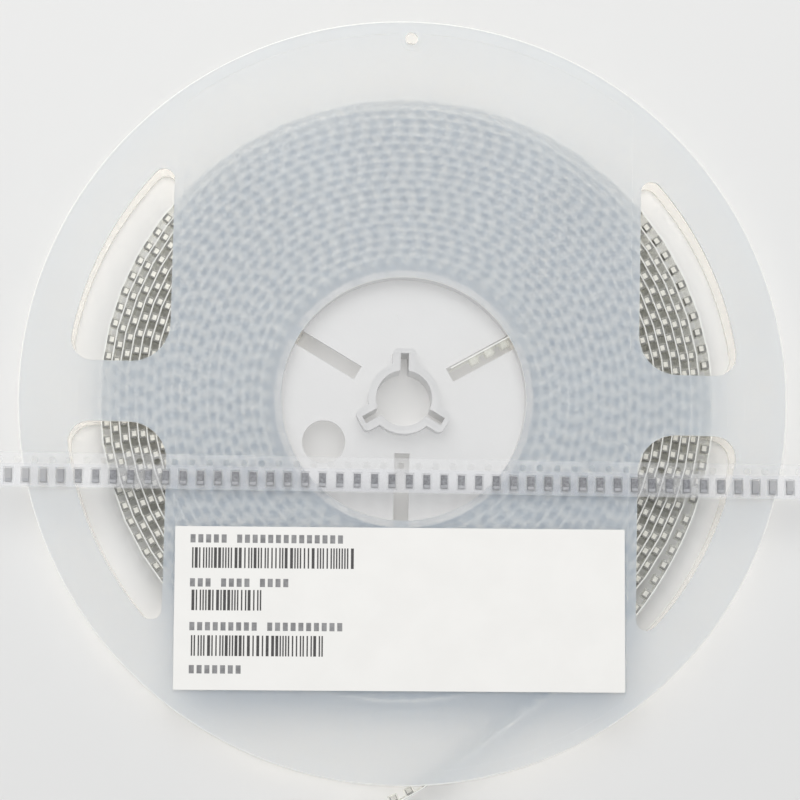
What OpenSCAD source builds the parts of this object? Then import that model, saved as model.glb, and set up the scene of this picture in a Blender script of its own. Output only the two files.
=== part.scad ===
// Component tape reel for 8 mm embossed carrier tape, loaded and lying flat.
// Origin on the spindle axis at the lower face, +Z up, +X along the right-hand spoke.

/* [Flanges] */
// Outside diameter of both flanges
reel_d = 178; // [174:1:250]
// Thickness of each flange
flange_t = 1.2; // [0.9:0.1:2]
// Clear width between the flanges
inner_w = 9; // [8.4:0.1:12]
// Chamfer on the rim of each flange
rim_chamfer = 0.3; // [0.1:0.1:0.4]

/* [Windows] */
// Distance from the reel's middle line to the straight upright edge of a window
window_x = 54.4; // [53.5:0.1:58]
// Width of the rim outside the curved edge of the windows
window_rim = 10.8; // [8:0.1:13]
// Width of the spoke left between an upper and a lower window
spoke_w = 14; // [13:0.5:30]
// Corner radius between the outer edge and the spoke
window_outer_round = 5; // [2:0.5:8]
// Corner radius between the upright edge and the spoke
window_inner_round = 9; // [4:0.5:12]
// Corner radius at the pointed end of a window
window_tip_round = 2.5; // [1:0.5:4]

/* [Label panels] */
// Width of the land between a panel and the straight edge of a window
panel_land = 2; // [1.5:0.1:8]
// Distance from the middle of the spokes to the straight edge of a panel
panel_y = 8.8; // [7.5:0.1:20]
// Width of the rim outside the curved edge of a panel
panel_rim = 3; // [2:0.1:8]
// Depth of the panels
panel_deep = 0.25; // [0.1:0.05:0.5]
// Corner radius of the panels
panel_round = 2.5; // [1:0.5:5]

/* [Rim hole] */
// Diameter of the small hole near the rim
rim_hole_d = 3; // [2:0.1:4]
// Distance from the middle of that hole to the rim
rim_hole_edge = 4.2; // [3:0.1:6]
// Width of the raised ring round it
rim_ring_w = 0.7; // [0.5:0.05:1]

/* [Quantity scale] */
// Radius of the first mark
mark_first_r = 38.4; // [35:0.1:45]
// Growth of the squared radius from one mark to the next, as each holds as many parts
mark_area_step = 603; // [200:1:620]
// Number of marks on each spoke
mark_count = 9; // [1:1:9]
// Length of the plain marks
mark_short = 6.2; // [3:0.1:8]
// Length of every second mark
mark_long = 9.6; // [6:0.1:12]
// Length of the main mark, the second from the hub
mark_main = 15; // [9:0.1:24]
// Width of a mark
mark_w = 0.35; // [0.2:0.05:0.8]
// Height of the marks and of the ring above the flange
mark_h = 0.15; // [0.1:0.05:0.3]

/* [Hub] */
// Outside diameter of the wall that the tape winds on
hub_d = 60; // [54:0.5:64]
// Thickness of that wall
hub_wall = 1.6; // [1.2:0.1:3]
// Thickness of the web inside the wall
web_t = 1.2; // [0.8:0.1:2.5]
// Spindle bore
bore_d = 13; // [12.8:0.1:13.2]
// Wall of the collar round the bore and its keyways
collar_wall = 1.8; // [1.2:0.1:2.5]
// Width of the keyways
keyway_w = 1.9; // [1.5:0.1:2.2]
// Distance from the axis to the end of a keyway
keyway_r = 10.5; // [10:0.1:11]
// Wall beyond the end of a keyway
key_end_wall = 1.1; // [0.8:0.1:1.4]
// Corner radius of that wall
key_end_round = 1.3; // [0.5:0.1:2]
// Flare at the mouth of a keyway
keyway_flare = 0.45; // [0.2:0.05:0.5]
// Number of keyways, and of tape slots between them
key_count = 3; // [1:1:3]
// Width of the slots that take the start of a tape
slot_w = 3.5; // [3.2:0.1:5]
// Distance from the axis to the inner end of a slot
slot_r = 12.4; // [12:0.1:15]
// Diameter of the round hole in the web
drive_hole_d = 10; // [6:0.5:11]
// Distance of that hole from the axis
drive_hole_r = 20.9; // [19:0.1:21.5]
// Direction of that hole from the axis
drive_hole_angle = 209; // [200:1:222]
// Distance from the axis to the gate mark left on the web
gate_r = 20.1; // [17:0.1:23]
// Direction of the gate mark from the axis
gate_angle = 94; // [60:1:120]
// Length of the gate mark
gate_l = 1.5; // [1:0.1:3]
// Width of the gate mark
gate_w = 0.7; // [0.7:0.1:2]
// Corner radius of the gate mark
gate_round = 0.3; // [0.1:0.05:0.3]
// Height of the gate mark
gate_h = 0.25; // [0.1:0.05:0.5]

/* [Carrier tape] */
// Width of the tape
tape_w = 8; // [8:0.1:8.3]
// Thickness of the plain tape
tape_t = 0.3; // [0.2:0.05:0.4]
// Distance from pocket to pocket
pocket_pitch = 4; // [4:0.1:8]
// Play of a chip in its pocket, along and across the tape
pocket_play = 0.3; // [0.1:0.05:0.4]
// Room in the pocket above the chip, under the cover film
pocket_head = 0.13; // [0.05:0.01:0.3]
// Thickness of the pocket walls and floor
pocket_wall = 0.2; // [0.15:0.05:0.25]
// Diameter of the sprocket holes
sprocket_d = 1.5; // [1.4:0.05:1.6]
// Distance from the tape's edge to the middle of the sprocket holes
sprocket_edge = 1.75; // [1.5:0.05:2]
// Distance from the sprocket holes to the middle of the pockets
pocket_offset = 3.5; // [3.3:0.05:3.5]
// Width of the cover film
film_w = 5.2; // [4.4:0.1:5.3]
// Thickness of the cover film with its seal
film_t = 0.1; // [0.05:0.01:0.15]

/* [Chips] */
// Length of a chip across the tape
chip_l = 3.2; // [2.8:0.05:3.4]
// Width of a chip along the tape
chip_w = 1.6; // [1.2:0.05:1.9]
// Height of a chip
chip_h = 1.6; // [1.1:0.05:1.8]
// Draft of the moulded sides, on each side of the parting line
chip_draft = 0.06; // [0:0.01:0.1]
// Thickness of the terminal strips
terminal_t = 0.1; // [0.05:0.01:0.15]
// Width of the terminal strips
terminal_w = 1.2; // [0.8:0.05:1.2]
// Height of a terminal up the end of the chip
terminal_h = 1; // [0.5:0.05:1]
// Length of a terminal under the chip
terminal_foot = 0.8; // [0.4:0.05:1]

/* [Winding] */
// Whole turns on the hub
turns = 19; // [4:1:19]
// Air between the pockets of a turn and the turn inside it
turn_gap = 0.11; // [0.05:0.01:0.15]
// Extra radius that the loose last part of a turn springs out to
loose_out = 0.9; // [0:0.1:1.5]
// Stretch, in degrees, over which the last turn springs out
loose_span = 110; // [60:5:180]
// Direction from the axis in which the free end leaves the turns
leave_angle = -20; // [-60:1:20]
// Radius of the bend at the tucked-in start
tuck_bend_r = 3; // [2.5:0.1:4]
// Gap between the tucked-in start and the side of its slot
tuck_gap = 0.5; // [0.2:0.05:0.8]
// Gap between the tucked-in end and the inner end of its slot
tuck_end_gap = 0.8; // [0.3:0.1:2]

/* [Free end] */
// Pockets in the bend that leaves the turns
bend_pockets = 13; // [4:1:14]
// Turn of that bend, in degrees
bend_turn = 33; // [10:1:40]
// Pockets in the straight stretch
straight_pockets = 9; // [2:1:10]
// Pockets in the curl at the end
curl_pockets = 3; // [1:1:5]
// Turn of the curl, in degrees
curl_turn = 14; // [0:1:30]

/* [Loose length of tape] */
// Number of pockets in the length laid across the reel
strip_pockets = 48; // [10:1:48]
// Distance of its middle line in front of the spindle axis
strip_y = 18.15; // [16:0.05:24]
// Turn of its middle line from the spokes
strip_angle = 0.45; // [-3:0.05:3]
// Shift of its pockets to the right
strip_shift = -0.4; // [-4:0.1:4]

/* [Label] */
// Gap between each end of the paper label and the side of its panel
label_side_gap = 0.65; // [0.5:0.05:20]
// Gap between the label's outer corner and the curved edge of its panel
label_rim_gap = 0.52; // [0.4:0.01:10]
// Width of the label
label_w = 37.4; // [20:0.1:40]
// Thickness of the label
label_t = 0.1; // [0.05:0.01:0.2]
// Shift of the label to the right in its panel
label_shift = 0.15; // [-0.2:0.05:0.2]
// Turn of the label on the flange
label_angle = 0.9; // [-1:0.1:1]
// Corner radius of the label
label_round = 0.3; // [0.1:0.1:3]

/* [Hidden] */

// Colours of the plastics, the metal and the paper
natural_plastic = [0.92, 0.93, 0.94];
clear_tape = [0.80, 0.84, 0.88];
clear_film = [0.88, 0.90, 0.92];
chip_black = [0.13, 0.13, 0.14];
terminal_tin = [0.80, 0.79, 0.76];
label_white = [0.97, 0.96, 0.94];

// Heights of the main faces
reel_h = 2 * flange_t + inner_w;
tape_mid_z = flange_t + tape_w / 2;
web_z = (reel_h - web_t) / 2;

// Radii and widths that follow from the driving sizes
window_r = reel_d / 2 - window_rim;
panel_x = window_x - panel_land;
panel_r = reel_d / 2 - panel_rim;
rim_hole_r = reel_d / 2 - rim_hole_edge;
rim_ring_d = rim_hole_d + 2 * rim_ring_w;
hub_r = hub_d / 2;
hub_in_r = hub_r - hub_wall;
bore_r = bore_d / 2;
collar_r = bore_r + collar_wall;
key_step = 360 / key_count;

// Tape laid out flat: +X along it, +Y to the sprocket edge, cover side at z = 0
sprocket_line = tape_w / 2 - sprocket_edge;
pocket_line = sprocket_line - pocket_offset;
chip_rest_gap = 0.02;
pocket_along = chip_w + pocket_play;
pocket_across = chip_l + pocket_play;
pocket_floor_z = -(pocket_head + chip_h + chip_rest_gap + pocket_wall);
pocket_h = -pocket_floor_z - tape_t;
chip_z = pocket_floor_z + pocket_wall + chip_rest_gap;

// The turns: an even spiral that starts at the tucked bend
turn_pitch = pocket_h + tape_t + turn_gap;
wind_r = hub_r + pocket_h + tape_t / 2 + 2 * turn_gap;
slot_angle = 30;
tuck_side = slot_w / 2 - tape_t / 2 - tuck_gap;
tuck_end = sqrt(pow(wind_r, 2) - pow(tuck_side - tuck_bend_r, 2)) - tuck_bend_r;
tuck_start = slot_r + tuck_end_gap;
wind_start_angle = slot_angle + atan2(tuck_side - tuck_bend_r, tuck_end + tuck_bend_r);
wind_angle = 360 * turns + wind_start_angle - leave_angle;
turn_steps = 48;
wind_steps = round(turn_steps * wind_angle / 360);
bend_steps = 8;
tuck_pockets = floor((tuck_end - tuck_start) / pocket_pitch);

// The label, whose turned outer corner keeps its gap from the curved edge of the panel
label_l = 2 * (panel_x - label_side_gap);
label_corner_x = label_l / 2 * cos(label_angle) - label_w / 2 * sin(abs(label_angle));
label_corner_y = label_w / 2 * cos(label_angle) + label_l / 2 * sin(abs(label_angle));
label_y = sqrt(pow(panel_r - label_rim_gap, 2) - pow(label_corner_x, 2)) - label_corner_y;

// Overlap that lets cuts and joined pieces pass through each other cleanly
eps = 0.05;

$fn = 128;

// ---------- plane geometry ----------

// Points of an arc from angle a0 to a1
function arc(x, y, r, a0, a1, steps) =
    [for (i = [0:steps]) let (a = a0 + (a1 - a0) * i / steps) [x + r * cos(a), y + r * sin(a)]];

// Centre of a fillet of radius f that touches an outer arc of radius r and lies at x or at y
function under_arc(r, f, side) = sqrt(pow(r - f, 2) - pow(side, 2));

// Outline of the window right of and above the spindle
function window_outline() =
    let (h = spoke_w / 2,
         outer_y = h + window_outer_round,
         outer_x = under_arc(window_r, window_outer_round, outer_y),
         tip_x = window_x + window_tip_round,
         tip_y = under_arc(window_r, window_tip_round, tip_x),
         a_outer = atan2(outer_y, outer_x),
         a_tip = atan2(tip_y, tip_x))
    concat(
        arc(outer_x, outer_y, window_outer_round, -90, a_outer, 7),
        arc(0, 0, window_r, a_outer + 1.5, a_tip - 1, 16),
        arc(tip_x, tip_y, window_tip_round, a_tip, 180, 6),
        arc(window_x + window_inner_round, h + window_inner_round, window_inner_round, 180, 270, 9)
    );

// Outline of the sunk panel above the spokes
function panel_outline() =
    let (low_x = panel_x - panel_round,
         low_y = panel_y + panel_round,
         top_y = under_arc(panel_r, panel_round, low_x),
         a_top = atan2(top_y, low_x))
    concat(
        arc(low_x, low_y, panel_round, -90, 0, 6),
        arc(low_x, top_y, panel_round, 0, a_top, 5),
        arc(0, 0, panel_r, a_top + 1, 179 - a_top, 24),
        arc(-low_x, top_y, panel_round, 180 - a_top, 180, 5),
        arc(-low_x, low_y, panel_round, 180, 270, 6)
    );

// Rounded rectangle about the origin
function card_outline(l, w, r) =
    concat(
        arc(l / 2 - r, w / 2 - r, r, 0, 90, 5),
        arc(-l / 2 + r, w / 2 - r, r, 90, 180, 5),
        arc(-l / 2 + r, -w / 2 + r, r, 180, 270, 5),
        arc(l / 2 - r, -w / 2 + r, r, 270, 360, 5)
    );

// ---------- path of the wound tape, as [x, y, angle of the outward normal] ----------

// Part that eases from 0 to 1 between two values
function ease(t) = let (u = min(max(t, 0), 1)) u * u * (3 - 2 * u);

function turned(u, v, a) = [u * cos(a) - v * sin(a), u * sin(a) + v * cos(a)];

function tuck_point(u, v, normal) = let (p = turned(u, v, slot_angle)) [p[0], p[1], slot_angle + normal];

function tuck_path() = concat(
    [tuck_point(tuck_start, tuck_side, 90)],
    [for (i = [0:bend_steps - 1])
        let (a = 90 * (1 - i / bend_steps))
        tuck_point(tuck_end + tuck_bend_r * cos(a), tuck_side + tuck_bend_r * (sin(a) - 1), a)]
);

function wind_point(i) =
    let (t = wind_angle * i / wind_steps,
         a = wind_start_angle - t,
         r = wind_r + turn_pitch * t / 360 + loose_out * ease((t - wind_angle + loose_span) / loose_span))
    [r * cos(a), r * sin(a), a];

function wind_path() = [for (i = [0:wind_steps]) wind_point(i)];

// Turn of the free end within each pocket pitch, from the turns outwards
free_turns = concat(
    [for (i = [1:bend_pockets]) bend_turn / bend_pockets],
    [for (i = [1:straight_pockets]) 0],
    [for (i = [1:curl_pockets]) curl_turn / curl_pockets]
);
free_count = len(free_turns);

function free_points(i, p, heading) =
    i == free_count ? [] :
    let (mid = heading - free_turns[i] / 2,
         q = [p[0] + pocket_pitch * cos(mid), p[1] + pocket_pitch * sin(mid)],
         next = heading - free_turns[i])
    concat([[q[0], q[1], next + 90]], free_points(i + 1, q, next));

wind_end = wind_point(wind_steps);
free_path = concat([wind_end], free_points(0, wind_end, wind_end[2] - 90));

// A band of the given thickness whose middle line lies off the path by side
function edge(path, side) = [for (p = path) [p[0] + side * cos(p[2]), p[1] + side * sin(p[2])]];
function reversed(list) = [for (i = [len(list) - 1:-1:0]) list[i]];
function band(path, t, side) = concat(edge(path, side + t / 2), reversed(edge(path, side - t / 2)));

// Places its children, made as flat tape, on step i of a path that runs on edge round the reel
module on_path(path, i) {
    p = path[i];
    q = path[i + 1];
    translate([(p[0] + q[0]) / 2, (p[1] + q[1]) / 2, tape_mid_z])
        rotate([0, 0, atan2(q[1] - p[1], q[0] - p[0])])
            rotate([-90, 0, 0])
                translate([0, 0, tape_t / 2])
                    children();
}

module on_free_end() {
    for (i = [0:free_count - 1]) on_path(free_path, i) children();
}

module on_tucked_start() {
    for (i = [0:tuck_pockets - 1])
        on_path([tuck_point(tuck_end - (i + 1) * pocket_pitch, tuck_side, 90),
                 tuck_point(tuck_end - i * pocket_pitch, tuck_side, 90)], 0)
            children();
}

// ---------- pieces shared by the tapes, made flat ----------

module pocket_outside() {
    w = pocket_along + 2 * pocket_wall;
    l = pocket_across + 2 * pocket_wall;
    translate([-w / 2, pocket_line - l / 2, pocket_floor_z])
        cube([w, l, pocket_h + tape_t / 2]);
}

module pocket_inside() {
    translate([-pocket_along / 2, pocket_line - pocket_across / 2, pocket_floor_z + pocket_wall])
        cube([pocket_along, pocket_across, pocket_h + tape_t - pocket_wall + eps]);
}

module sprocket_hole() {
    translate([pocket_pitch / 2, sprocket_line, -tape_t - eps])
        cylinder(h = tape_t + 2 * eps, d = sprocket_d, $fn = 24);
}

// Moulded chip lying in its pocket, terminals down; its sides draft from the parting line
module chip_body() {
    l = chip_l - 2 * terminal_t;
    translate([0, pocket_line + l / 2, chip_z])
        rotate([90, 0, 0])
            linear_extrude(l)
                polygon([
                    [-chip_w / 2 + chip_draft, terminal_t], [chip_w / 2 - chip_draft, terminal_t],
                    [chip_w / 2, chip_h / 2], [chip_w / 2 - chip_draft, chip_h],
                    [-chip_w / 2 + chip_draft, chip_h], [-chip_w / 2, chip_h / 2]
                ]);
}

// Folded terminals at both ends of a chip
module chip_terminals() {
    end = chip_l / 2;
    for (s = [-1, 1])
        translate([-terminal_w / 2, pocket_line, chip_z])
            rotate([90, 0, 90])
                linear_extrude(terminal_w)
                    polygon([
                        [s * end, 0], [s * end, terminal_h],
                        [s * (end - terminal_t), terminal_h], [s * (end - terminal_t), terminal_t],
                        [s * (end - terminal_foot), terminal_t], [s * (end - terminal_foot), 0]
                    ]);
}

// ---------- reel ----------

module window_cuts(h) {
    for (mx = [0, 1], my = [0, 1])
        mirror([mx, 0, 0]) mirror([0, my, 0])
            translate([0, 0, -eps])
                linear_extrude(h + 2 * eps) polygon(window_outline());
}

// Flange disc with its chamfered rim up and its windows and rim hole cut
module flange_disc() {
    difference() {
        rotate_extrude()
            polygon([
                [hub_in_r, 0], [reel_d / 2, 0], [reel_d / 2, flange_t - rim_chamfer],
                [reel_d / 2 - rim_chamfer, flange_t], [hub_in_r, flange_t]
            ]);
        window_cuts(flange_t);
        translate([0, rim_hole_r, -eps])
            cylinder(h = flange_t + 2 * eps, d = rim_hole_d, $fn = 32);
    }
}

module quantity_mark(k) {
    r = sqrt(pow(mark_first_r, 2) + k * mark_area_step);
    long = k == 1 ? mark_main : k % 2 == 1 ? mark_long : mark_short;
    span = long / r * 180 / PI;
    rotate([0, 0, -span / 2])
        rotate_extrude(angle = span)
            translate([r - mark_w / 2, -eps]) square([mark_w, mark_h + eps]);
}

module lower_flange() {
    color(natural_plastic)
        translate([0, 0, flange_t]) mirror([0, 0, 1]) flange_disc();
}

module upper_flange() {
    color(natural_plastic)
        translate([0, 0, flange_t + inner_w]) {
            difference() {
                flange_disc();
                translate([0, 0, flange_t - panel_deep])
                    linear_extrude(panel_deep + eps)
                        difference() {
                            for (m = [0, 1]) mirror([0, m, 0]) polygon(panel_outline());
                            translate([0, rim_hole_r]) circle(d = rim_ring_d + 2 * rim_ring_w, $fn = 32);
                        }
            }
            translate([0, 0, flange_t]) {
                for (k = [0:mark_count - 1], a = [0, 180])
                    rotate([0, 0, a]) quantity_mark(k);
                translate([0, rim_hole_r, -eps])
                    difference() {
                        cylinder(h = mark_h + eps, d = rim_ring_d, $fn = 32);
                        translate([0, 0, -eps]) cylinder(h = mark_h + 3 * eps, d = rim_hole_d, $fn = 32);
                    }
            }
        }
}

module key_lobe() {
    half = keyway_w / 2 + collar_wall;
    x = keyway_r + key_end_wall - key_end_round;
    y = half - key_end_round;
    polygon(concat([[0, -half]],
        arc(x, -y, key_end_round, -90, 0, 5),
        arc(x, y, key_end_round, 0, 90, 5),
        [[0, half]]));
}

module keyway() {
    half = keyway_w / 2;
    mouth = sqrt(pow(bore_r, 2) - pow(half + keyway_flare, 2)) - 2 * eps;
    polygon(concat(
        [[bore_r / 2, -half]],
        arc(mouth + keyway_flare, -half - keyway_flare, keyway_flare, 180, 90, 4),
        [[keyway_r, -half], [keyway_r, half]],
        arc(mouth + keyway_flare, half + keyway_flare, keyway_flare, 270, 180, 4),
        [[bore_r / 2, half]]));
}

module hub() {
    color(natural_plastic)
        difference() {
            union() {
                translate([0, 0, flange_t])
                    difference() {
                        cylinder(h = inner_w, r = hub_r);
                        translate([0, 0, -eps]) cylinder(h = inner_w + 2 * eps, r = hub_in_r);
                    }
                translate([0, 0, web_z]) cylinder(h = web_t, r = hub_in_r + hub_wall / 2);
                rotate([0, 0, gate_angle])
                    translate([gate_r, 0, web_z + web_t - eps])
                        linear_extrude(gate_h + eps) polygon(card_outline(gate_l, gate_w, gate_round));
                linear_extrude(reel_h) {
                    circle(r = collar_r);
                    for (k = [0:key_count - 1]) rotate([0, 0, 90 + k * key_step]) key_lobe();
                }
            }
            translate([0, 0, -eps]) cylinder(h = reel_h + 2 * eps, r = bore_r);
            for (k = [0:key_count - 1]) {
                rotate([0, 0, 90 + k * key_step])
                    translate([0, 0, -eps]) linear_extrude(reel_h + 2 * eps) keyway();
                rotate([0, 0, slot_angle + k * key_step])
                    translate([slot_r, -slot_w / 2, flange_t - eps])
                        cube([hub_r - slot_r + hub_wall, slot_w, inner_w + 2 * eps]);
            }
            rotate([0, 0, drive_hole_angle])
                translate([drive_hole_r, 0, web_z - eps])
                    cylinder(h = web_t + 2 * eps, d = drive_hole_d);
        }
}

// ---------- wound tape ----------

// One strip on edge: tucked start, spiral turns and free end, with pockets where it runs free
module wound_carrier_tape() {
    path = concat(tuck_path(), wind_path(), [for (i = [1:free_count]) free_path[i]]);
    color(clear_tape)
        difference() {
            union() {
                translate([0, 0, flange_t])
                    linear_extrude(tape_w) polygon(band(path, tape_t, 0));
                on_free_end() pocket_outside();
                on_tucked_start() pocket_outside();
            }
            on_free_end() {
                pocket_inside();
                sprocket_hole();
            }
            on_tucked_start() {
                pocket_inside();
                sprocket_hole();
            }
        }
}

// A place on the turns, as [x, y, heading], whose spiral angle is t
function on_turns(t) =
    let (f = t / wind_angle * wind_steps,
         i = min(floor(f), wind_steps - 1),
         p = wind_point(i),
         q = wind_point(i + 1),
         u = f - i)
    [p[0] + (q[0] - p[0]) * u, p[1] + (q[1] - p[1]) * u, atan2(q[1] - p[1], q[0] - p[0])];

// Spiral angle at length s along the turns
function turn_at(s) =
    let (b = turn_pitch / (2 * PI)) (sqrt(pow(wind_r, 2) + 2 * b * s) - wind_r) / b * 180 / PI;

// Room for a chip that shows through a window
function in_window(p) =
    abs(p[0]) > window_x - chip_w && abs(p[1]) > spoke_w / 2 - chip_w;

wind_length = wind_r * wind_angle * PI / 180 + turn_pitch / (4 * PI) * pow(wind_angle * PI / 180, 2);
wound_pockets = floor(wind_length / pocket_pitch) - 1;
window_places = [
    for (k = [0:wound_pockets - 1])
        let (p = on_turns(turn_at((k + 0.5) * pocket_pitch)))
        if (in_window(p)) p
];

// Chips in the turns that lie behind the windows
module wound_chips() {
    depth = tape_t / 2 + turn_gap / 2 + chip_h;
    color(chip_black)
        for (p = window_places)
            translate([p[0], p[1], tape_mid_z])
                rotate([0, 0, p[2]])
                    rotate([-90, 0, 0])
                        translate([-chip_w / 2, pocket_line - chip_l / 2, -depth])
                            cube([chip_w, chip_l, chip_h]);
}

module free_end_film() {
    side = (tape_t + film_t) / 2;
    color(clear_film)
        translate([0, 0, tape_mid_z - pocket_line - film_w / 2])
            linear_extrude(film_w) polygon(band(free_path, film_t, side));
}

module free_end_chip_bodies() {
    color(chip_black) on_free_end() chip_body();
}

module free_end_chip_terminals() {
    color(terminal_tin) on_free_end() chip_terminals();
}

// ---------- length of tape laid across the upper flange ----------

strip_l = strip_pockets * pocket_pitch;
strip_z = reel_h - pocket_floor_z;

module on_strip() {
    translate([0, -strip_y, strip_z])
        rotate([0, 0, strip_angle])
            translate([strip_shift, 0, 0])
                children();
}

module along_strip() {
    on_strip()
        for (k = [0:strip_pockets - 1])
            translate([(k - (strip_pockets - 1) / 2) * pocket_pitch, 0, 0]) children();
}

module strip_carrier_tape() {
    color(clear_tape)
        difference() {
            union() {
                on_strip()
                    translate([-strip_l / 2, -tape_w / 2, -tape_t]) cube([strip_l, tape_w, tape_t]);
                along_strip() pocket_outside();
            }
            along_strip() {
                pocket_inside();
                sprocket_hole();
            }
        }
}

module strip_film() {
    color(clear_film)
        on_strip()
            translate([-strip_l / 2, pocket_line - film_w / 2, 0]) cube([strip_l, film_w, film_t]);
}

module strip_chip_bodies() {
    color(chip_black) along_strip() chip_body();
}

module strip_chip_terminals() {
    color(terminal_tin) along_strip() chip_terminals();
}

// ---------- label ----------

module label() {
    color(label_white)
        translate([label_shift, -label_y, reel_h - panel_deep])
            rotate([0, 0, label_angle])
                linear_extrude(label_t) polygon(card_outline(label_l, label_w, label_round));
}

lower_flange();
upper_flange();
hub();
wound_carrier_tape();
wound_chips();
free_end_film();
free_end_chip_bodies();
free_end_chip_terminals();
strip_carrier_tape();
strip_film();
strip_chip_bodies();
strip_chip_terminals();
label();
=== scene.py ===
import math
import random

import bmesh
import bpy
from mathutils import Matrix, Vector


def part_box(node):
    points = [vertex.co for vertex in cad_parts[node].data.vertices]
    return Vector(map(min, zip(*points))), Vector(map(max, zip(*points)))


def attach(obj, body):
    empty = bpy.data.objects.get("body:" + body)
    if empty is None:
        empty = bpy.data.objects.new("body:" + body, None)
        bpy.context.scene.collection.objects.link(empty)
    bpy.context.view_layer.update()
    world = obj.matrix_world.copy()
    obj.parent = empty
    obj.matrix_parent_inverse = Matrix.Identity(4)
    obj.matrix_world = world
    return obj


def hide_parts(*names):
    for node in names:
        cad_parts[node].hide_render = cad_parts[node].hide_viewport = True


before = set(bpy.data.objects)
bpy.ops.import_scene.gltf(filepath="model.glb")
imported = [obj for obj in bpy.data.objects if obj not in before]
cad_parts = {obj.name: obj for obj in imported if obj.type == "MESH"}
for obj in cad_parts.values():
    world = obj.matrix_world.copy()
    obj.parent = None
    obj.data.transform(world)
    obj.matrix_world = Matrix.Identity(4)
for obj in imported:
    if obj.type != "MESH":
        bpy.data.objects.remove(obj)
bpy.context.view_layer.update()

# The camera looks down on the reel from a little in front of it and to its left, through a long lens.
# It comes first.
camera_lens = bpy.data.cameras.new("camera")
camera_lens.sensor_width = 36
camera_lens.lens = 125.6
camera_lens.shift_x = 0.0172
camera_lens.shift_y = -0.0021
camera = bpy.data.objects.new("camera", camera_lens)
camera.location = (-0.023844, -0.071119, 0.652494)
camera.rotation_euler = [math.radians(turn) for turn in (6.271, -1.903, 1.269)]
bpy.context.scene.collection.objects.link(camera)
bpy.context.scene.camera = camera
bpy.context.scene.view_settings.view_transform = "Standard"
# A ray may pass many layers of clear plastic, so see-through bounces are many and the others few
cycles = bpy.context.scene.cycles
cycles.transparent_max_bounces = 24
cycles.max_bounces = 7
cycles.diffuse_bounces = 3
cycles.glossy_bounces = 2
cycles.transmission_bounces = 6

# The reel lies on a plain pale table under soft studio light: a large lamp stands high behind it, a wide
# weak one fills from the front, and the room's white walls do the rest.
table_low = -0.00004
table_half = 3.0


def plain_mesh(name, corners, faces):
    mesh = bpy.data.meshes.new(name)
    mesh.from_pydata(corners, [], faces)
    mesh.update()
    return mesh


def makers(tree):
    """A maker of nodes, which sets their values by name, and a maker of links, both for one tree."""
    def node(kind, **values):
        made = tree.nodes.new(kind)
        for key, value in values.items():
            if hasattr(made, key):
                setattr(made, key, value)
            else:
                made.inputs[key.replace("_", " ")].default_value = value
        return made

    def link(source, target):
        tree.links.new(source, target)

    return node, link


def shader_tree(owner):
    """Empties the tree of a material or of the world, and gives its two makers."""
    owner.use_nodes = True
    owner.node_tree.nodes.clear()
    return makers(owner.node_tree)


table_paint = bpy.data.materials.new("table_top")
node, link = shader_tree(table_paint)
surface = node("ShaderNodeBsdfPrincipled", Base_Color=(0.80, 0.80, 0.795, 1), Roughness=0.7)
link(surface.outputs[0], node("ShaderNodeOutputMaterial").inputs["Surface"])
table = bpy.data.objects.new("table", plain_mesh("table", [
    (-table_half, -table_half, table_low), (table_half, -table_half, table_low),
    (table_half, table_half, table_low), (-table_half, table_half, table_low)], [(0, 1, 2, 3)]))
table.data.materials.append(table_paint)
bpy.context.scene.collection.objects.link(table)


def soft_lamp(name, place, aim, size, watts, tint):
    lamp = bpy.data.lights.new(name, "AREA")
    lamp.shape = "DISK"
    lamp.size = size
    lamp.energy = watts
    lamp.color = tint
    stand = bpy.data.objects.new(name, lamp)
    stand.location = place
    turn = [aim[axis] - place[axis] for axis in range(3)]
    flat = math.hypot(turn[0], turn[1])
    stand.rotation_euler = (math.atan2(flat, -turn[2]), 0, math.atan2(-turn[0], turn[1]))
    bpy.context.scene.collection.objects.link(stand)


soft_lamp("key_lamp", (-0.12, 0.48, 0.95), (0, 0.05, 0), 0.95, 7.4, (1.0, 0.985, 0.965))
soft_lamp("fill_lamp", (0.3, -0.9, 1.2), (0, 0, 0), 1.2, 2.0, (0.97, 0.985, 1.0))

# The room's walls look brighter to the camera and in reflections than they light the reel
room = bpy.data.worlds.new("room")
bpy.context.scene.world = room
node, link = shader_tree(room)
walls = node("ShaderNodeBackground", Color=(0.96, 0.98, 1.0, 1), Strength=0.45)
seen_walls = node("ShaderNodeBackground", Color=(0.97, 0.98, 1.0, 1), Strength=0.9)
ray = node("ShaderNodeLightPath")
either = node("ShaderNodeMath", operation="MAXIMUM")
choose = node("ShaderNodeMixShader")
link(ray.outputs["Is Camera Ray"], either.inputs[0])
link(ray.outputs["Is Glossy Ray"], either.inputs[1])
link(either.outputs[0], choose.inputs[0])
link(walls.outputs[0], choose.inputs[1])
link(seen_walls.outputs[0], choose.inputs[2])
link(choose.outputs[0], node("ShaderNodeOutputWorld").inputs["Surface"])


# The two flanges and the hub are injection moulded in natural, undyed plastic: milky, and cool where it is
# seen against something dark. Every cut wall of the flanges has a painted glow, a faint emission in place of
# light carried out through the plastic. The upper flange is matt and blurs what lies under it. The clouding
# of the melt and the mould's fine grain show in them all.
def group_tree(name, inputs, outputs):
    """A shader group with named values in and out, and its two makers."""
    group = bpy.data.node_groups.new(name, "ShaderNodeTree")
    for label, value in inputs:
        socket = group.interface.new_socket(label, in_out="INPUT", socket_type="NodeSocketFloat")
        socket.default_value = value
    for label in outputs:
        group.interface.new_socket(label, in_out="OUTPUT", socket_type="NodeSocketFloat")
    return group, *makers(group)


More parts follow.
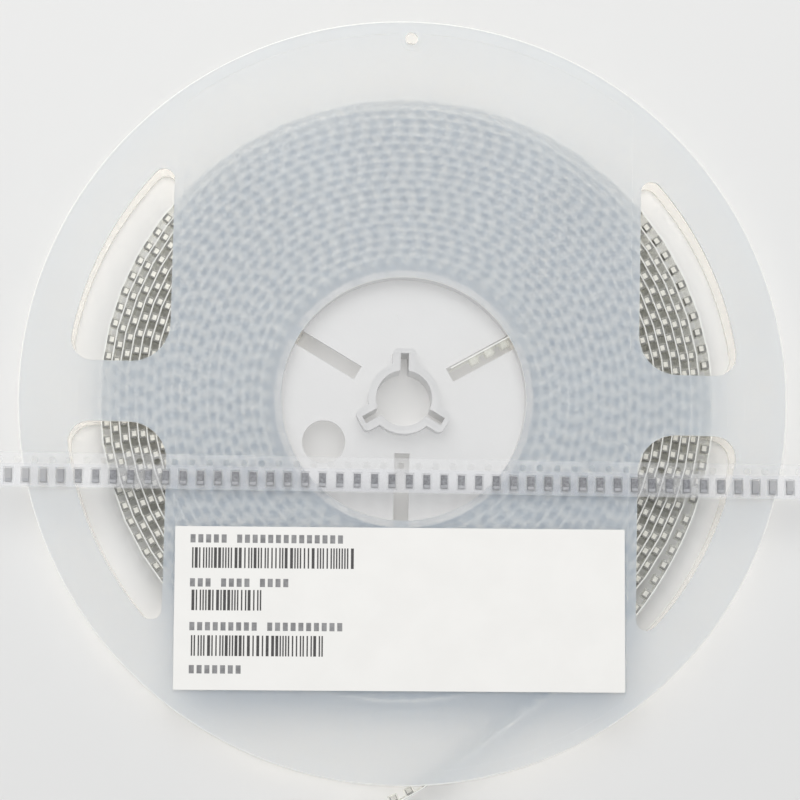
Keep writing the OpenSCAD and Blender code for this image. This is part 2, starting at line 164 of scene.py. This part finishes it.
# Mask of the faces that lie flat, 1, against the walls that stand up, 0
flat_from = 0.92
lying_faces, node, link = group_tree("lying_faces", [("Softness", 0.1)], ["Lying"])
entry = node("NodeGroupInput")
leave = node("NodeGroupOutput")
side = node("ShaderNodeNewGeometry")
parts = node("ShaderNodeSeparateXYZ")
steep = node("ShaderNodeMath", operation="ABSOLUTE")
low = node("ShaderNodeMath", operation="SUBTRACT")
low.inputs[0].default_value = flat_from
step = node("ShaderNodeMapRange", From_Max=flat_from)
link(side.outputs["Normal"], parts.inputs[0])
link(parts.outputs["Z"], steep.inputs[0])
link(entry.outputs["Softness"], low.inputs[1])
link(steep.outputs[0], step.inputs["Value"])
link(low.outputs[0], step.inputs["From Min"])
link(step.outputs["Result"], leave.inputs["Lying"])

# Clouds of the melt and grain of the mould, in millimetres
moulded, node, link = group_tree("moulded", [("Cloud mm", 18.0), ("Grain mm", 0.6)], ["Cloud", "Grain"])
entry = node("NodeGroupInput")
leave = node("NodeGroupOutput")
place = node("ShaderNodeTexCoord")
for label, detail in (("Cloud", 2.0), ("Grain", 0.0)):
    per_metre = node("ShaderNodeMath", operation="DIVIDE")
    per_metre.inputs[0].default_value = 1000
    noise = node("ShaderNodeTexNoise", Detail=detail, Roughness=0.55)
    link(entry.outputs[label + " mm"], per_metre.inputs[1])
    link(place.outputs["Object"], noise.inputs["Vector"])
    link(per_metre.outputs[0], noise.inputs["Scale"])
    link(noise.outputs["Fac"], leave.inputs[label])


def clouds_and_grain(node, link, look, rough_spread, grain_depth):
    """A finish's clouds, and the roughness and the bump that its grain gives it."""
    melt = node("ShaderNodeGroup", node_tree=moulded, Cloud_mm=look["cloud_mm"], Grain_mm=look["grain_mm"])
    rough = node("ShaderNodeMapRange",
                 To_Min=look["rough"] - rough_spread, To_Max=look["rough"] + rough_spread)
    link(melt.outputs["Grain"], rough.inputs["Value"])
    bump = node("ShaderNodeBump", Strength=look["bump"], Distance=grain_depth)
    link(melt.outputs["Grain"], bump.inputs["Height"])
    return melt.outputs["Cloud"], rough.outputs["Result"], bump.outputs["Normal"]


def clear_plastic(name, look):
    """A see-through plastic, whose faces each let a part of the light through and return the rest.

    solid_lying and solid_wall are the parts that its lying faces and its walls return. With edge_on, a lying
    face seen at a low angle is as solid as a wall. With edge_from, only lying faces at least that far above
    or below edge_line, such as a strip's slit edges, are as solid as solid_lying. lets_light is the share of
    the lamps' light that a face never keeps back, and haze the blur of what lies behind it. A glow colour,
    if
    given, is a painted glow: an emission on its walls in place of light carried out through them.
    """
    material = bpy.data.materials.new(name)
    node, link = shader_tree(material)
    cloud, rough, bump = clouds_and_grain(node, link, look, rough_spread=0.08, grain_depth=0.0001)
    facing = node("ShaderNodeGroup", node_tree=lying_faces)
    tint = node("ShaderNodeMix", data_type="RGBA", A=(*look["tint"], 1), B=(*look["tint_cloud"], 1))
    link(cloud, tint.inputs[0])
    flat_on = facing.outputs["Lying"]
    if "edge_on" in look:
        lean = node("ShaderNodeLayerWeight", Blend=0.5)
        upright = node("ShaderNodeMath", operation="MULTIPLY_ADD")
        upright.inputs[1].default_value = -look["edge_on"]
        upright.inputs[2].default_value = 1
        both_ways = node("ShaderNodeMath", operation="MULTIPLY")
        link(lean.outputs["Facing"], upright.inputs[0])
        link(upright.outputs[0], both_ways.inputs[0])
        link(flat_on, both_ways.inputs[1])
        flat_on = both_ways.outputs[0]
    colour = node("ShaderNodeMix", data_type="RGBA", A=(*look["wall_tint"], 1))
    link(flat_on, colour.inputs[0])
    link(tint.outputs["Result"], colour.inputs["B"])
    solid = node("ShaderNodeMix", data_type="FLOAT", A=look["solid_wall"], B=look["solid_lying"])
    link(flat_on, solid.inputs[0])
    if "edge_from" in look:
        here = node("ShaderNodeTexCoord")
        height = node("ShaderNodeSeparateXYZ")
        off_line = node("ShaderNodeMath", operation="SUBTRACT")
        off_line.inputs[1].default_value = look["edge_line"]
        away = node("ShaderNodeMath", operation="ABSOLUTE")
        at_edge = node("ShaderNodeMath", operation="GREATER_THAN")
        at_edge.inputs[1].default_value = look["edge_from"]
        edge = node("ShaderNodeMath", operation="MULTIPLY")
        link(here.outputs["Object"], height.inputs[0])
        link(height.outputs["Z"], off_line.inputs[0])
        link(off_line.outputs[0], away.inputs[0])
        link(away.outputs[0], at_edge.inputs[0])
        link(at_edge.outputs[0], edge.inputs[0])
        link(facing.outputs["Lying"], edge.inputs[1])
        link(edge.outputs[0], solid.inputs[0])
    uneven = node("ShaderNodeMapRange", From_Min=0.3, From_Max=0.7,
                  To_Min=-look["uneven"], To_Max=look["uneven"])
    link(cloud, uneven.inputs["Value"])
    total = node("ShaderNodeMath", operation="ADD", use_clamp=True)
    link(solid.outputs[0], total.inputs[0])
    link(uneven.outputs["Result"], total.inputs[1])
    skin = node("ShaderNodeBsdfPrincipled", IOR=1.5, Specular_IOR_Level=look["shine"])
    # Painted glow: the walls give off a faint emission in place of light carried out through the plastic
    if "painted_glow" in look:
        painted_glow = node("ShaderNodeMix", data_type="RGBA", A=(*look["painted_glow"], 1), B=(0, 0, 0, 1))
        skin.inputs["Emission Strength"].default_value = 1
        link(facing.outputs["Lying"], painted_glow.inputs[0])
        link(painted_glow.outputs["Result"], skin.inputs["Emission Color"])
        material.cycles.emission_sampling = "NONE"
    link(colour.outputs["Result"], skin.inputs["Base Color"])
    link(rough, skin.inputs["Roughness"])
    link(bump, skin.inputs["Normal"])
    through = node("ShaderNodeBsdfTransparent", Color=(*look["through"], 1))
    if "haze" in look:
        through = node("ShaderNodeBsdfRefraction", IOR=1.33, Roughness=look["haze"],
                       Color=(*look["through"], 1))
    body = node("ShaderNodeMixShader")
    link(total.outputs[0], body.inputs[0])
    link(through.outputs[0], body.inputs[1])
    link(skin.outputs[0], body.inputs[2])
    ray = node("ShaderNodeLightPath")
    lit = node("ShaderNodeMath", operation="MULTIPLY")
    lit.inputs[1].default_value = look["lets_light"]
    link(ray.outputs["Is Shadow Ray"], lit.inputs[0])
    unshaded = node("ShaderNodeBsdfTransparent")
    whole = node("ShaderNodeMixShader")
    link(lit.outputs[0], whole.inputs[0])
    link(body.outputs[0], whole.inputs[1])
    link(unshaded.outputs[0], whole.inputs[2])
    link(whole.outputs[0], node("ShaderNodeOutputMaterial").inputs["Surface"])
    return material


def refinish(name, material):
    """Gives a CAD node a finished material in all of its slots."""
    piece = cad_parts[name]
    if not piece.material_slots:
        piece.data.materials.append(material)
    for slot in piece.material_slots:
        slot.material = material


# The upper and lower flanges each carry a colour for a painted glow on their walls
reel_plastic = clear_plastic("reel_plastic", {
    "tint": (0.66, 0.80, 0.98), "tint_cloud": (0.70, 0.83, 0.99), "through": (1.0, 0.96, 0.90),
    "wall_tint": (0.94, 0.94, 0.92), "painted_glow": (0.12, 0.12, 0.115),
    "solid_lying": 0.24, "solid_wall": 0.9, "uneven": 0.01, "cloud_mm": 22, "grain_mm": 0.5,
    "rough": 0.38, "bump": 0.12, "shine": 0.4, "lets_light": 0.83, "haze": 0.87, "edge_on": 0.9})
refinish("upper_flange", reel_plastic)
# The lower flange is the same plastic as the upper one, but this copy of it is whiter and more solid:
# painted light that keeps the lower flange bright where it shows through the upper one
low_plastic = clear_plastic("low_plastic", {
    "tint": (0.90, 0.90, 0.89), "tint_cloud": (0.93, 0.93, 0.92), "through": (1.0, 0.99, 0.975),
    "wall_tint": (0.95, 0.94, 0.90), "painted_glow": (0.06, 0.06, 0.055),
    "solid_lying": 0.30, "solid_wall": 0.6, "uneven": 0.01, "cloud_mm": 22, "grain_mm": 0.5,
    "rough": 0.38, "bump": 0.12, "shine": 0.4, "lets_light": 0.70, "edge_on": 0.9})
refinish("lower_flange", low_plastic)
hub_plastic = clear_plastic("hub_plastic", {
    "tint": (0.765, 0.77, 0.78), "tint_cloud": (0.79, 0.80, 0.81), "through": (1.0, 0.985, 0.965),
    "wall_tint": (0.86, 0.86, 0.86),
    "solid_lying": 0.7, "solid_wall": 0.92, "uneven": 0.015, "cloud_mm": 22, "grain_mm": 0.5,
    "rough": 0.38, "bump": 0.12, "shine": 0.4, "lets_light": 0.75})
refinish("hub", hub_plastic)

# The wound tape is one clear embossed strip standing on edge in about nineteen turns, with its start tucked
# in a slot of the hub. Its slit edges shine white. Every 4 mm it has a pocket, bulging towards the hub, that
# holds a chip: a black moulded block with a bright folded terminal at each end.
tape_t = 0.0003
tape_w = 0.008
slit_edge = 0.0002
flange_t = 0.0012
pocket_pitch = 0.004
pocket_along, pocket_across, pocket_h, pocket_wall = 0.0019, 0.0035, 0.00165, 0.0002
pocket_line = -0.00125
turn_gap = 0.00011
turn_pitch = pocket_h + tape_t + turn_gap
hub_r = 0.030
wind_r = hub_r + pocket_h + tape_t / 2 + 2 * turn_gap
# The tape's start stands in a hub slot, leaves it by a quarter bend and joins the winding at wind_start
slot_half_w = 0.00175
slot_gap = 0.0005
slot_angle = math.radians(30)
tuck_side = slot_half_w - tape_t / 2 - slot_gap
tuck_bend = 0.003
tuck_end = math.sqrt(wind_r ** 2 - (tuck_side - tuck_bend) ** 2) - tuck_bend
wind_start = slot_angle + math.atan2(tuck_side - tuck_bend, tuck_end + tuck_bend)
whole_turns = 19
last_part = math.radians(20)
wind_angle = whole_turns * math.tau + wind_start + last_part
# Over loose_span at its end the roll springs out, in the end by loose_out
loose_out = 0.0009
loose_span = math.radians(110)
steps_a_turn = 48
tape_middle = flange_t + tape_w / 2
wind_length = wind_r * wind_angle + turn_pitch / (2 * math.tau) * wind_angle ** 2
pocket_count = int(wind_length / pocket_pitch) - 1


def box_faces(base):
    """The six faces of a box whose eight corners start at base, turned outwards."""
    return [tuple(base + corner for corner in face) for face in
            ((0, 3, 2, 1), (4, 5, 6, 7), (0, 1, 5, 4), (1, 2, 6, 5), (2, 3, 7, 6), (3, 0, 4, 7))]


def box_corners(low, high):
    """The eight corners of a box, round its bottom and then round its top."""
    return [(x, y, z) for z in (low[2], high[2])
            for x, y in ((low[0], low[1]), (high[0], low[1]), (high[0], high[1]), (low[0], high[1]))]


def blocks(name, boxes):
    """One mesh of separate closed boxes, each given by its two far corners."""
    corners, faces = [], []
    for low, high in boxes:
        faces += box_faces(len(corners))
        corners += box_corners(low, high)
    return plain_mesh(name, corners, faces)


def pocket_cup():
    """A pocket of the tape laid flat: an open cup under the tape, cover side at z = 0."""
    half_x, half_y = pocket_along / 2, pocket_across / 2
    top, floor = -tape_t, -tape_t - pocket_h
    outer = box_corners((-half_x - pocket_wall, pocket_line - half_y - pocket_wall, floor),
                        (half_x + pocket_wall, pocket_line + half_y + pocket_wall, top))
    inner = box_corners((-half_x, pocket_line - half_y, floor + pocket_wall),
                        (half_x, pocket_line + half_y, top))
    # The outer walls and floor, the same inside turned inwards, and the rim between them
    faces = [face for face in box_faces(0) if face != (4, 5, 6, 7)]
    faces += [tuple(8 + corner for corner in reversed(face)) for face in faces]
    faces += [(4 + k, 4 + (k + 1) % 4, 12 + (k + 1) % 4, 12 + k) for k in range(4)]
    return plain_mesh("pocket_cup", outer + inner, faces)


chip_l, chip_w, chip_h = 0.0032, 0.0016, 0.0016
terminal_t, terminal_w, terminal_h, terminal_foot = 0.0001, 0.0012, 0.001, 0.0008
chip_rest_gap = 0.00002
chip_low = -(tape_t + pocket_h) + pocket_wall + chip_rest_gap
chip_block = blocks("chip_block", [
    ((-chip_w / 2, pocket_line - chip_l / 2 + terminal_t, chip_low + terminal_t),
     (chip_w / 2, pocket_line + chip_l / 2 - terminal_t, chip_low + chip_h))])


def chip_terminals():
    """The two folded terminals of a chip lying flat, up its ends and under it."""
    corners, faces = [], []
    for end in (-1, 1):
        profile = [(chip_l / 2, 0), (chip_l / 2, terminal_h), (chip_l / 2 - terminal_t, terminal_h),
                   (chip_l / 2 - terminal_t, terminal_t), (chip_l / 2 - terminal_foot, terminal_t),
                   (chip_l / 2 - terminal_foot, 0)]
        ring = len(profile)
        base = len(corners)
        for x in (-terminal_w / 2, terminal_w / 2):
            corners += [(x, pocket_line + end * along, chip_low + up) for along, up in profile]
        faces += [(base + k, base + (k + 1) % ring, base + ring + (k + 1) % ring, base + ring + k)
                  for k in range(ring)]
        for first in (base, base + ring):
            faces += [(first, first + 1, first + 2, first + 3), (first, first + 3, first + 4, first + 5)]
    mesh = plain_mesh("chip_terminals", corners, faces)
    shape = bmesh.new()
    shape.from_mesh(mesh)
    bmesh.ops.recalc_face_normals(shape, faces=shape.faces)
    shape.to_mesh(mesh)
    shape.free()
    return mesh


# A spiral that springs out at its end, with a copy of a flat piece at every pocket's place along it
turn_row = bpy.data.node_groups.new("row_on_the_turns", "GeometryNodeTree")
turn_row.interface.new_socket("Geometry", in_out="OUTPUT", socket_type="NodeSocketGeometry")
turn_inputs = {}
for label, kind in (("Piece", "Object"), ("Finish", "Material"), ("First radius", "Float"),
                    ("Turn pitch", "Float"), ("Rotations", "Float"), ("Steps a turn", "Int"),
                    ("Start angle", "Float"), ("Loose radius", "Float"), ("Loose share", "Float"),
                    ("Middle height", "Float"), ("Places", "Int"), ("Spacing", "Float")):
    socket = turn_row.interface.new_socket(label, in_out="INPUT", socket_type="NodeSocket" + kind)
    turn_inputs[label] = socket.identifier
geometry_node, join = makers(turn_row)


def reckon(operation, *values):
    """A Math node on sockets and plain numbers."""
    made = geometry_node("ShaderNodeMath", operation=operation)
    for at, value in enumerate(values):
        if isinstance(value, (int, float)):
            made.inputs[at].default_value = value
        else:
            join(value, made.inputs[at])
    return made.outputs[0]


given = geometry_node("NodeGroupInput").outputs
spiral = geometry_node("GeometryNodeCurveSpiral")
join(given["Steps a turn"], spiral.inputs["Resolution"])
join(given["Rotations"], spiral.inputs["Rotations"])
join(given["First radius"], spiral.inputs["Start Radius"])
join(reckon("MULTIPLY_ADD", given["Turn pitch"], given["Rotations"], given["First radius"]),
     spiral.inputs["End Radius"])
spiral.inputs["Height"].default_value = 0
index = geometry_node("GeometryNodeInputIndex").outputs[0]
how_far = reckon("DIVIDE", index, reckon("MULTIPLY", given["Steps a turn"], given["Rotations"]))
spring = geometry_node("ShaderNodeMapRange", interpolation_type="SMOOTHSTEP")
join(how_far, spring.inputs["Value"])
join(reckon("SUBTRACT", 1.0, given["Loose share"]), spring.inputs["From Min"])
join(given["Loose radius"], spring.inputs["To Max"])
outward = geometry_node("ShaderNodeVectorMath", operation="NORMALIZE")
join(geometry_node("GeometryNodeInputPosition").outputs[0], outward.inputs[0])
push = geometry_node("ShaderNodeVectorMath", operation="SCALE")
join(outward.outputs[0], push.inputs[0])
join(spring.outputs["Result"], push.inputs["Scale"])
loosen = geometry_node("GeometryNodeSetPosition")
join(spiral.outputs[0], loosen.inputs["Geometry"])
join(push.outputs[0], loosen.inputs["Offset"])
turn_it = geometry_node("ShaderNodeCombineXYZ")
join(given["Start angle"], turn_it.inputs["Z"])
lift = geometry_node("ShaderNodeCombineXYZ")
join(given["Middle height"], lift.inputs["Z"])
set_up = geometry_node("GeometryNodeTransform")
join(loosen.outputs[0], set_up.inputs["Geometry"])
join(lift.outputs[0], set_up.inputs["Translation"])
join(turn_it.outputs[0], set_up.inputs["Rotation"])
cut = geometry_node("GeometryNodeTrimCurve", mode="LENGTH")
join(set_up.outputs[0], cut.inputs["Curve"])
# Of two sockets with the same name, the last is the one for a length in metres
cut_start = [socket for socket in cut.inputs if socket.name == "Start"][-1]
cut_end = [socket for socket in cut.inputs if socket.name == "End"][-1]
join(reckon("MULTIPLY", given["Spacing"], 0.5), cut_start)
join(reckon("MULTIPLY", reckon("SUBTRACT", given["Places"], 0.5), given["Spacing"]), cut_end)
places = geometry_node("GeometryNodeResampleCurve", mode="COUNT")
join(cut.outputs[0], places.inputs["Curve"])
join(given["Places"], places.inputs["Count"])
heading = geometry_node("ShaderNodeSeparateXYZ")
join(geometry_node("GeometryNodeInputTangent").outputs[0], heading.inputs[0])
lean = geometry_node("ShaderNodeCombineXYZ")
lean.inputs["X"].default_value = -math.pi / 2
join(reckon("ARCTAN2", heading.outputs["Y"], heading.outputs["X"]), lean.inputs["Z"])
as_turn = geometry_node("FunctionNodeEulerToRotation")
join(lean.outputs[0], as_turn.inputs[0])
source = geometry_node("GeometryNodeObjectInfo")
join(given["Piece"], source.inputs["Object"])
copies = geometry_node("GeometryNodeInstanceOnPoints")
join(places.outputs[0], copies.inputs["Points"])
join(source.outputs["Geometry"], copies.inputs["Instance"])
join(as_turn.outputs[0], copies.inputs["Rotation"])
whole = geometry_node("GeometryNodeRealizeInstances")
join(copies.outputs[0], whole.inputs[0])
coat = geometry_node("GeometryNodeSetMaterial")
join(whole.outputs[0], coat.inputs["Geometry"])
join(given["Finish"], coat.inputs["Material"])
join(coat.outputs[0], geometry_node("NodeGroupOutput").inputs[0])


def along_the_turns(name, flat_mesh, finish):
    """Copies a flat piece of the tape to every pocket place of the turns, as one plain mesh."""
    flat_mesh.transform(Matrix.Translation((0, 0, tape_t / 2)))
    pattern = bpy.data.objects.new(name + "_pattern", flat_mesh)
    bpy.context.scene.collection.objects.link(pattern)
    carrier = bpy.data.objects.new(name + "_carrier", bpy.data.meshes.new(name + "_carrier"))
    bpy.context.scene.collection.objects.link(carrier)
    row = carrier.modifiers.new("row", "NODES")
    row.node_group = turn_row
    for label, value in {
            "Piece": pattern, "Finish": finish, "First radius": wind_r, "Turn pitch": turn_pitch,
            "Rotations": wind_angle / math.tau, "Steps a turn": steps_a_turn, "Start angle": wind_start,
            "Loose radius": loose_out, "Loose share": loose_span / wind_angle,
            "Middle height": tape_middle, "Places": pocket_count, "Spacing": pocket_pitch}.items():
        row[turn_inputs[label]] = value
    bpy.context.view_layer.update()
    shape = bpy.data.meshes.new_from_object(
        carrier.evaluated_get(bpy.context.evaluated_depsgraph_get()))
    shape.name = name
    bpy.data.objects.remove(carrier)
    bpy.data.objects.remove(pattern)
    piece = bpy.data.objects.new(name, shape)
    bpy.context.scene.collection.objects.link(piece)
    return piece


tape_on_edge = clear_plastic("tape_on_edge", {
    "tint": (0.86, 0.87, 0.84), "tint_cloud": (0.93, 0.93, 0.90), "through": (0.985, 0.985, 0.97),
    "wall_tint": (0.84, 0.84, 0.81),
    "solid_lying": 0.80, "solid_wall": 0.16, "uneven": 0.03, "cloud_mm": 3, "grain_mm": 0.3,
    "rough": 0.30, "bump": 0.05, "shine": 0.5, "lets_light": 0.88,
    "edge_line": tape_middle, "edge_from": tape_w / 2 - slit_edge})
refinish("wound_carrier_tape", tape_on_edge)
pocket_plastic = bpy.data.materials.new("pocket_plastic")
node, link = shader_tree(pocket_plastic)
ray = node("ShaderNodeLightPath")
solid = node("ShaderNodeMapRange", To_Min=0.15, To_Max=0.02)
clear = node("ShaderNodeBsdfTransparent", Color=(0.985, 0.985, 0.97, 1))
skin = node("ShaderNodeBsdfPrincipled", Base_Color=(0.83, 0.83, 0.80, 1), Roughness=0.3)
body = node("ShaderNodeMixShader")
link(ray.outputs["Is Shadow Ray"], solid.inputs["Value"])
link(solid.outputs["Result"], body.inputs[0])
link(clear.outputs[0], body.inputs[1])
link(skin.outputs[0], body.inputs[2])
link(body.outputs[0], node("ShaderNodeOutputMaterial").inputs["Surface"])
wound_pockets = along_the_turns("wound_pockets", pocket_cup(), pocket_plastic)
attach(wound_pockets, "root")


def speckled(name, tint, fleck, look):
    """An opaque finish with a mottled tint and a grained, uneven shine.

    With pale, a painted sheen: its tint turns to that colour from pale_from to pale_to metres to either side
    of the middle.
    """
    material = bpy.data.materials.new(name)
    node, link = shader_tree(material)
    cloud, rough, bump = clouds_and_grain(node, link, look, rough_spread=0.1, grain_depth=0.00005)
    mix = node("ShaderNodeMix", data_type="RGBA", A=(*tint, 1), B=(*fleck, 1))
    spread = node("ShaderNodeMapRange", From_Min=0.35, From_Max=0.65)
    link(cloud, spread.inputs["Value"])
    link(spread.outputs["Result"], mix.inputs[0])
    colour = mix
    # Painted sheen: far out to either side along x, the tint turns paler
    if "pale" in look:
        here = node("ShaderNodeTexCoord")
        across = node("ShaderNodeSeparateXYZ")
        out = node("ShaderNodeMath", operation="ABSOLUTE")
        far = node("ShaderNodeMapRange", From_Min=look["pale_from"], From_Max=look["pale_to"])
        colour = node("ShaderNodeMix", data_type="RGBA", B=(*look["pale"], 1))
        link(here.outputs["Object"], across.inputs[0])
        link(across.outputs["X"], out.inputs[0])
        link(out.outputs[0], far.inputs["Value"])
        link(far.outputs["Result"], colour.inputs[0])
        link(mix.outputs["Result"], colour.inputs["A"])
    skin = node("ShaderNodeBsdfPrincipled", Metallic=look["metal"])
    link(colour.outputs["Result"], skin.inputs["Base Color"])
    link(rough, skin.inputs["Roughness"])
    link(bump, skin.inputs["Normal"])
    link(skin.outputs[0], node("ShaderNodeOutputMaterial").inputs["Surface"])
    return material


chip_black = speckled("chip_black", (0.045, 0.046, 0.05), (0.075, 0.077, 0.083),
                      {"cloud_mm": 0.6, "grain_mm": 0.08, "rough": 0.55, "bump": 0.3, "metal": 0})
terminal_tin = speckled("terminal_tin", (0.48, 0.47, 0.455), (0.60, 0.59, 0.57),
                        {"cloud_mm": 0.5, "grain_mm": 0.1, "rough": 0.4, "bump": 0.2, "metal": 0.6})
wound_bodies = along_the_turns("wound_chip_bodies", chip_block, chip_black)
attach(wound_bodies, "root")
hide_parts("wound_chips")
wound_terminals = along_the_turns("wound_chip_terminals", chip_terminals(), terminal_tin)
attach(wound_terminals, "root")

# The wound tape's free end, drawn out at the front, and a cut length laid across the upper flange are the
# same strip, sealed with a clear film. On the laid length, film up, the mottled tops of the chips show, each
# with a pale polarity bar printed across its front end, and those far out are painted paler, a painted
# sheen.
tape_laid_flat = clear_plastic("tape_laid_flat", {
    "tint": (0.91, 0.92, 0.93), "tint_cloud": (0.94, 0.945, 0.95), "through": (0.985, 0.985, 0.985),
    "wall_tint": (0.90, 0.92, 0.94),
    "solid_lying": 0.12, "solid_wall": 0.55, "uneven": 0.03, "cloud_mm": 4, "grain_mm": 0.3,
    "rough": 0.28, "bump": 0.05, "shine": 0.5, "lets_light": 0.6})
cover_film = clear_plastic("cover_film", {
    "tint": (0.90, 0.92, 0.95), "tint_cloud": (0.94, 0.95, 0.97), "through": (0.99, 0.99, 1.0),
    "wall_tint": (0.92, 0.94, 0.96),
    "solid_lying": 0.07, "solid_wall": 0.3, "uneven": 0.02, "cloud_mm": 5, "grain_mm": 0.4,
    "rough": 0.25, "bump": 0.05, "shine": 0.4, "lets_light": 0.7})
refinish("strip_carrier_tape", tape_laid_flat)
for name in ("strip_film", "free_end_film"):
    refinish(name, cover_film)
for name in ("free_end_chip_bodies", "wound_chips"):
    refinish(name, chip_black)
for name in ("strip_chip_terminals", "free_end_chip_terminals"):
    refinish(name, terminal_tin)
# The strip's chips turn paler towards both ends of the strip: a painted sheen where they would catch the
# light
strip_chip_black = speckled("strip_chip_black", (0.085, 0.088, 0.095), (0.21, 0.213, 0.22),
                            {"cloud_mm": 0.7, "grain_mm": 0.08, "rough": 0.5, "bump": 0.3, "metal": 0,
                             "pale": (0.42, 0.42, 0.41), "pale_from": 0.066, "pale_to": 0.088})
refinish("strip_chip_bodies", strip_chip_black)
chip_mark = speckled("chip_mark", (0.28, 0.285, 0.29), (0.40, 0.405, 0.41),
                     {"cloud_mm": 0.5, "grain_mm": 0.08, "rough": 0.5, "bump": 0.2, "metal": 0})
strip_pockets = 48
strip_turn = math.radians(0.45)
mark_half_w, mark_deep, mark_inset = 0.00072, 0.00066, 0.00004
mark_sunk, mark_proud = 0.00002, 0.00001
mark_front = -chip_l / 2 + terminal_t + mark_inset
row_low, row_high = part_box("strip_chip_bodies")
row_middle = (row_low + row_high) / 2


def printed(name, boxes, middle, turn, finish):
    """Thin printed blocks as one piece, centred on what they are printed on and turned with it."""
    mesh = blocks(name, boxes)
    mesh.transform(Matrix.Translation((middle.x, middle.y, 0)) @ Matrix.Rotation(turn, 4, "Z"))
    mesh.materials.append(finish)
    piece = bpy.data.objects.new(name, mesh)
    bpy.context.scene.collection.objects.link(piece)
    return piece


chip_lines = [(k - (strip_pockets - 1) / 2) * pocket_pitch for k in range(strip_pockets)]
chip_marks = printed("strip_chip_marks", [
    ((x - mark_half_w, mark_front, row_high.z - mark_sunk),
     (x + mark_half_w, mark_front + mark_deep, row_high.z + mark_proud)) for x in chip_lines],
    row_middle, strip_turn, chip_mark)
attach(chip_marks, "root")

# The label is a coated paper sticker in the front panel of the upper flange. Its print is plain: four rows
# of small grey cells where words would be, and three rows of black bars that code nothing.
label_paper = speckled("label_paper", (0.885, 0.875, 0.85), (0.905, 0.895, 0.87),
                       {"cloud_mm": 9, "grain_mm": 0.25, "rough": 0.6, "bump": 0.15, "metal": 0})
refinish("label", label_paper)
ink = speckled("label_ink", (0.035, 0.034, 0.034), (0.06, 0.058, 0.058),
               {"cloud_mm": 1.5, "grain_mm": 0.2, "rough": 0.6, "bump": 0.1, "metal": 0})
ink_grey = speckled("label_ink_grey", (0.20, 0.20, 0.205), (0.30, 0.30, 0.305),
                    {"cloud_mm": 1.5, "grain_mm": 0.2, "rough": 0.6, "bump": 0.1, "metal": 0})
label_low, label_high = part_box("label")
label_middle = (label_low + label_high) / 2
label_turn = math.radians(0.9)
ink_t = 0.00002


def on_label(name, boxes, finish):
    """Printed blocks given in millimetres from the label's middle, along it and across it."""
    low, high = label_high.z - ink_t, label_high.z + ink_t
    piece = printed(name, [((x0 / 1000, y0 / 1000, low), (x1 / 1000, y1 / 1000, high))
                           for x0, y0, x1, y1 in boxes], label_middle, label_turn, finish)
    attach(piece, "root")


# The print, in millimetres. A row of bars is given by its height on the label and its length, and a row of
# cells by its height and its pattern of cells and spaces.
print_left, bars_inset, cells_inset = -48.4, 0.6, 0.2
bar_half_h = 2.35
bar_widths, bar_gaps = (0.33, 0.33, 0.33, 0.66), (0.30, 0.30, 0.58)
draw = random.Random(8)
code_bars = []
for middle, length in ((11.5, 37.6), (1.8, 16.6), (-8.6, 31.2)):
    x = print_left + bars_inset
    while x < print_left + length:
        bar = draw.choice(bar_widths)
        code_bars.append((x, middle - bar_half_h, x + bar, middle + bar_half_h))
        x += bar + draw.choice(bar_gaps)
on_label("label_code_bars", code_bars, ink)
cell_pitch, cell_w, cell_half_h = 1.78, 1.15, 0.95
word_cells = []
for middle, cells in ((15.9, "xxxxx xxxxxxxxxxxxxx"), (5.8, "xxx xxxx xxxx"), (-4.2, "xxxxxxxxx xxxxxxxxxx"),
                      (-14.0, "xxxxxxx")):
    for at, cell in enumerate(cells):
        if cell == "x":
            x = print_left + cells_inset + at * cell_pitch
            word_cells.append((x, middle - cell_half_h, x + cell_w, middle + cell_half_h))
on_label("label_word_cells", word_cells, ink_grey)
